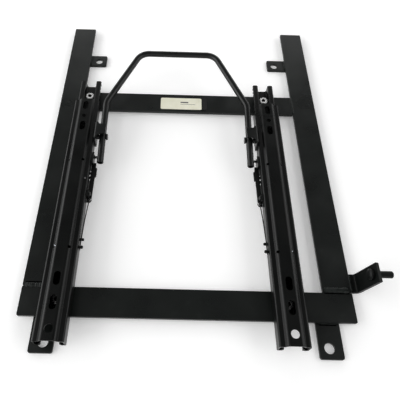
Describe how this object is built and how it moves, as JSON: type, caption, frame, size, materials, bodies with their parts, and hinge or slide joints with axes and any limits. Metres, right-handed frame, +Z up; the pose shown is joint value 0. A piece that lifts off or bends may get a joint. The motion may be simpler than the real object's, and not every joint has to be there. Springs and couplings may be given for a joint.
{
  "type": "seat slide rail",
  "caption": "Flat bar seat base with two mirrored ball sliders, a towel bar release handle, drilled floor tabs and a buckle bracket.",
  "frame": {"origin": "middle of the footprint, at the underside of the four floor tabs", "axes": "+Y to the vehicle's front, the way the seat slides forward and the handle points; +X to the side with the buckle bracket; +Z up"},
  "size_m": [0.4678, 0.581, 0.0526],
  "materials": {
    "black_frame": "satin black powder coat",
    "black_slider": "satin black dip coat",
    "black_handle": "semi gloss black",
    "zinc": "bright zinc plating",
    "label_film": "ivory film under a clear cover",
    "spring_steel": "drawn wire",
    "cage_steel": "plain strip",
    "ball_steel": "polished",
    "nylon": "moulded"
  },
  "bodies": {
    "frame": {"side_bar_left": "black_frame", "side_bar_right": "black_frame", "cross_bar_front": "black_frame", "cross_bar_rear": "black_frame", "front_tab_left": "black_frame", "front_tab_right": "black_frame", "rear_tab_left": "black_frame", "rear_tab_right": "black_frame", "buckle_bracket": "black_frame", "lower_rail_left": "black_frame", "lower_rail_right": "black_frame", "buckle_stud": "zinc", "rail_screw_front_left": "zinc", "rail_screw_front_right": "zinc", "rail_screw_rear_left": "zinc", "rail_screw_rear_right": "zinc", "label": "label_film"},
    "upper_left": {"upper_rail_left": "black_slider", "handle_holder_left": "black_slider", "latch_rivet_left": "black_slider", "handle_spacer_left": "black_slider", "handle_pin_left": "zinc", "shoulder_rivet": "zinc", "spring_post_left_front": "zinc", "spring_post_left_rear": "zinc", "spring_wire_left": "spring_steel", "glide_strip_left_inner": "nylon", "glide_strip_left_outer": "nylon"},
    "ball_train_left": {"ball_cage_left_inner": "cage_steel", "ball_left_inner_1": "ball_steel", "ball_left_inner_2": "ball_steel", "ball_cage_left_outer": "cage_steel", "ball_left_outer_1": "ball_steel", "ball_left_outer_2": "ball_steel"},
    "latch_left": {"latch_plate_left": "black_slider"},
    "upper_right": {"upper_rail_right": "black_slider", "handle_holder_right": "black_slider", "latch_rivet_right": "black_slider", "handle_spacer_right": "black_slider", "handle_pin_right": "zinc", "spring_post_right_front": "zinc", "spring_post_right_rear": "zinc", "spring_wire_right": "spring_steel", "glide_strip_right_inner": "nylon", "glide_strip_right_outer": "nylon"},
    "ball_train_right": {"ball_cage_right_inner": "cage_steel", "ball_right_inner_1": "ball_steel", "ball_right_inner_2": "ball_steel", "ball_cage_right_outer": "cage_steel", "ball_right_outer_1": "ball_steel", "ball_right_outer_2": "ball_steel"},
    "latch_right": {"latch_plate_right": "black_slider"},
    "handle": {"handle_bar": "black_handle", "link_pin_left": "black_slider", "link_pin_right": "black_slider"}
  },
  "joints": [
    {"name": "slide_left", "type": "slide", "parent": "frame", "child": "upper_left", "axis": [0, 1, 0], "range_m": [0, 0.18]},
    {"name": "slide_right", "type": "slide", "parent": "frame", "child": "upper_right", "axis": [0, 1, 0], "range_m": [0, 0.18]},
    {"name": "roll_left", "type": "slide", "parent": "frame", "child": "ball_train_left", "axis": [0, 1, 0], "range_m": [0, 0.09]},
    {"name": "roll_right", "type": "slide", "parent": "frame", "child": "ball_train_right", "axis": [0, 1, 0], "range_m": [0, 0.09]},
    {"name": "handle_lift", "type": "hinge", "parent": "upper_left", "child": "handle", "pos_m": [-0.03995, 0.02, 0.0282], "axis": [1, 0, 0], "range_deg": [0, 8], "stiffness_Nm_per_rad": 4},
    {"name": "latch_drop_left", "type": "hinge", "parent": "upper_left", "child": "latch_left", "pos_m": [-0.16295, -0.08, 0.0246], "axis": [-1, 0, 0], "range_deg": [0, 4.5]},
    {"name": "latch_drop_right", "type": "hinge", "parent": "upper_right", "child": "latch_right", "pos_m": [0.08305, -0.08, 0.0246], "axis": [-1, 0, 0], "range_deg": [0, 4.5]}
  ],
  "couplings": [
    {"joint": "slide_right", "follows": "slide_left", "ratio": 1},
    {"joint": "roll_left", "follows": "slide_left", "ratio": 0.5},
    {"joint": "roll_right", "follows": "slide_left", "ratio": 0.5},
    {"joint": "latch_drop_left", "follows": "handle_lift", "ratio": 0.5625},
    {"joint": "latch_drop_right", "follows": "handle_lift", "ratio": 0.5625}
  ]
}
